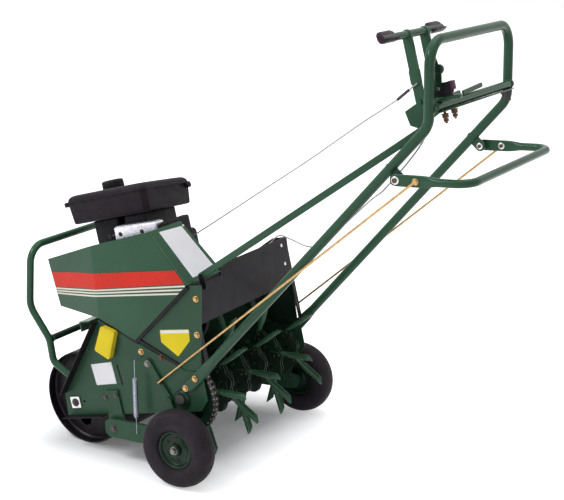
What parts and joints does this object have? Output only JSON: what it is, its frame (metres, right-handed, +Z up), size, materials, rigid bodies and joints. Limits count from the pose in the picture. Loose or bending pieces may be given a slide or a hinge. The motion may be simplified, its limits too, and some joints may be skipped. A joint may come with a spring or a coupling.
{
  "type": "core aerator",
  "caption": "Walk-behind powered core aerator with a ground roller, spoon tine reel under an engine deck, belt and chain drive, tubular handle and lift-up transport wheels.",
  "frame": {"origin": "middle of the footprint, on the floor, with the machine standing on its roller and transport wheels", "axes": "+Z up, +Y from the roller end to the operator's handle, +X to the machine's left"},
  "size_m": [0.721, 1.4172, 1.2728],
  "materials": {
    "green_paint": "gloss paint",
    "dark_green_paint": "satin paint",
    "black_paint": "satin paint",
    "engine_black": "black painted casting",
    "black_plastic": "moulded",
    "rubber_black": "matt",
    "tyre_black": "matt",
    "bright_sheet": "bright",
    "yellow_zinc": "yellow zinc plate",
    "zinc_steel": "zinc plate",
    "bare_steel": "oiled",
    "yellow_plastic": "moulded"
  },
  "bodies": {
    "chassis": {"arm_hanger_left": "green_paint", "arm_hanger_right": "green_paint", "assist_spring_left": "bare_steel", "assist_spring_right": "bare_steel", "belt_shroud": "green_paint", "blower_housing": "black_plastic", "carburettor_cover": "bright_sheet", "clutch_wire": "black_plastic", "document_box": "yellow_plastic", "drive_belt": "rubber_black", "drive_chain": "bare_steel", "engine_block": "engine_black", "engine_deck": "green_paint", "front_guard": "green_paint", "fuel_tank": "black_plastic", "handle_frame": "green_paint", "handle_strut": "green_paint", "lever_bracket": "green_paint", "muffler": "black_paint", "rear_panel": "black_paint", "roller_axle": "zinc_steel", "side_plate_left": "green_paint", "side_plate_right": "green_paint", "throttle_cable": "black_plastic", "throttle_case": "black_plastic", "upper_plate_left": "green_paint", "upper_plate_right": "green_paint"},
    "roller": {"front_roller": "black_paint"},
    "tine_reel": {"tine_shaft": "bare_steel", "tine_sprocket": "dark_green_paint", "tine_wheel_1": "green_paint", "tine_wheel_2": "green_paint", "tine_wheel_3": "green_paint", "tine_wheel_4": "green_paint", "tine_wheel_5": "green_paint", "tine_wheel_6": "green_paint"},
    "jackshaft": {"jackshaft": "bare_steel", "driven_pulley": "black_paint"},
    "crank": {"crank_pulley": "bare_steel"},
    "idler_arm": {"idler_arm": "dark_green_paint"},
    "idler_pulley": {"idler_pulley": "bare_steel"},
    "clutch_lever": {"clutch_lever": "green_paint", "clutch_grip_1": "rubber_black", "clutch_grip_2": "rubber_black"},
    "throttle_lever": {"throttle_lever": "dark_green_paint"},
    "fuel_cap": {"fuel_cap": "black_plastic"},
    "recoil_grip": {"recoil_grip": "black_plastic"},
    "lift_bail": {"lift_bail": "green_paint"},
    "wheel_arm_left": {"wheel_arm_left": "green_paint"},
    "wheel_left": {"tyre_left": "tyre_black", "rim_left": "green_paint"},
    "toggle_lever_left": {"toggle_lever_left": "green_paint"},
    "toggle_link_left": {"toggle_link_left": "green_paint"},
    "lift_rod_left": {"lift_rod_left": "yellow_zinc"},
    "wheel_arm_right": {"wheel_arm_right": "green_paint"},
    "wheel_right": {"tyre_right": "tyre_black", "rim_right": "green_paint"},
    "toggle_lever_right": {"toggle_lever_right": "green_paint"},
    "toggle_link_right": {"toggle_link_right": "green_paint"},
    "lift_rod_right": {"lift_rod_right": "yellow_zinc"}
  },
  "joints": [
    {"name": "roller_spin", "type": "hinge", "parent": "chassis", "child": "roller", "pos_m": [0, -0.5144, 0.14], "axis": [1, 0, 0], "continuous": true},
    {"name": "tine_spin", "type": "hinge", "parent": "chassis", "child": "tine_reel", "pos_m": [0, -0.13448, 0.22813], "axis": [1, 0, 0], "continuous": true},
    {"name": "jackshaft_spin", "type": "hinge", "parent": "chassis", "child": "jackshaft", "pos_m": [0, -0.18004, 0.43933], "axis": [1, 0, 0], "continuous": true},
    {"name": "crank_spin", "type": "hinge", "parent": "chassis", "child": "crank", "pos_m": [0, -0.43123, 0.50037], "axis": [1, 0, 0], "continuous": true},
    {"name": "clutch_lever_swing", "type": "hinge", "parent": "chassis", "child": "clutch_lever", "pos_m": [0, 0.54631, 1.10426], "axis": [1, 0, 0], "range_deg": [-14, 0]},
    {"name": "idler_arm_swing", "type": "hinge", "parent": "chassis", "child": "idler_arm", "pos_m": [0, -0.34531, 0.55802], "axis": [1, 0, 0], "range_deg": [-11, 0]},
    {"name": "idler_spin", "type": "hinge", "parent": "idler_arm", "child": "idler_pulley", "pos_m": [0, -0.28559, 0.56377], "axis": [1, 0, 0], "continuous": true},
    {"name": "throttle_swing", "type": "hinge", "parent": "chassis", "child": "throttle_lever", "pos_m": [0, 0.58833, 1.13697], "axis": [1, 0, 0], "range_deg": [-35, 0]},
    {"name": "fuel_cap_turn", "type": "hinge", "parent": "chassis", "child": "fuel_cap", "pos_m": [0.022, -0.54244, 0.728], "axis": [0, -0.2334, 0.9724], "range_deg": [0, 180]},
    {"name": "recoil_pull", "type": "slide", "parent": "chassis", "child": "recoil_grip", "axis": [0, -0.2334, 0.9724], "range_m": [0, 0.25], "stiffness_N_per_m": 20, "springref_m": -0.05},
    {"name": "wheel_arm_left_lift", "type": "hinge", "parent": "chassis", "child": "wheel_arm_left", "pos_m": [0, -0.36138, 0.09806], "axis": [1, 0, 0], "range_deg": [0, 28], "deforming": ["assist_spring_left"]},
    {"name": "wheel_left_spin", "type": "hinge", "parent": "wheel_arm_left", "child": "wheel_left", "pos_m": [0, -0.10468, 0.1105], "axis": [1, 0, 0], "continuous": true},
    {"name": "toggle_lever_left_swing", "type": "hinge", "parent": "chassis", "child": "toggle_lever_left", "pos_m": [0, -0.24782, 0.31044], "axis": [1, 0, 0], "range_deg": [-49.89, 0]},
    {"name": "toggle_link_left_swing", "type": "hinge", "parent": "toggle_lever_left", "child": "toggle_link_left", "pos_m": [0, -0.17764, 0.2156], "axis": [1, 0, 0], "range_deg": [0, 125.33]},
    {"name": "wheel_arm_right_lift", "type": "hinge", "parent": "chassis", "child": "wheel_arm_right", "pos_m": [0, -0.36138, 0.09806], "axis": [1, 0, 0], "range_deg": [0, 28], "deforming": ["assist_spring_right"]},
    {"name": "wheel_right_spin", "type": "hinge", "parent": "wheel_arm_right", "child": "wheel_right", "pos_m": [0, -0.10468, 0.1105], "axis": [1, 0, 0], "continuous": true},
    {"name": "toggle_lever_right_swing", "type": "hinge", "parent": "chassis", "child": "toggle_lever_right", "pos_m": [0, -0.24782, 0.31044], "axis": [1, 0, 0], "range_deg": [-49.89, 0]},
    {"name": "toggle_link_right_swing", "type": "hinge", "parent": "toggle_lever_right", "child": "toggle_link_right", "pos_m": [0, -0.17764, 0.2156], "axis": [1, 0, 0], "range_deg": [0, 125.33]},
    {"name": "lift_bail_swing", "type": "hinge", "parent": "chassis", "child": "lift_bail", "pos_m": [0, 0.50635, 0.91727], "axis": [1, 0, 0], "range_deg": [-60.95, 0]},
    {"name": "lift_rod_left_swing", "type": "hinge", "parent": "lift_bail", "child": "lift_rod_left", "pos_m": [0, 0.56028, 0.92009], "axis": [1, 0, 0], "range_deg": [0, 58.75]},
    {"name": "lift_rod_right_swing", "type": "hinge", "parent": "lift_bail", "child": "lift_rod_right", "pos_m": [0, 0.56028, 0.92009], "axis": [1, 0, 0], "range_deg": [0, 58.75]}
  ],
  "couplings": [
    {"joint": "jackshaft_spin", "follows": "tine_spin", "ratio": 3.25},
    {"joint": "idler_arm_swing", "follows": "clutch_lever_swing", "ratio": 0.785},
    {"joint": "wheel_arm_right_lift", "follows": "wheel_arm_left_lift", "ratio": 1},
    {"joint": "lift_bail_swing", "follows": "wheel_arm_left_lift", "ratio": -2.175},
    {"joint": "toggle_lever_left_swing", "follows": "wheel_arm_left_lift", "ratio": -1.7801},
    {"joint": "toggle_link_left_swing", "follows": "wheel_arm_left_lift", "ratio": 4.4743},
    {"joint": "lift_rod_left_swing", "follows": "wheel_arm_left_lift", "ratio": 2.0964},
    {"joint": "toggle_lever_right_swing", "follows": "wheel_arm_left_lift", "ratio": -1.7801},
    {"joint": "toggle_link_right_swing", "follows": "wheel_arm_left_lift", "ratio": 4.4743},
    {"joint": "lift_rod_right_swing", "follows": "wheel_arm_left_lift", "ratio": 2.0964}
  ]
}
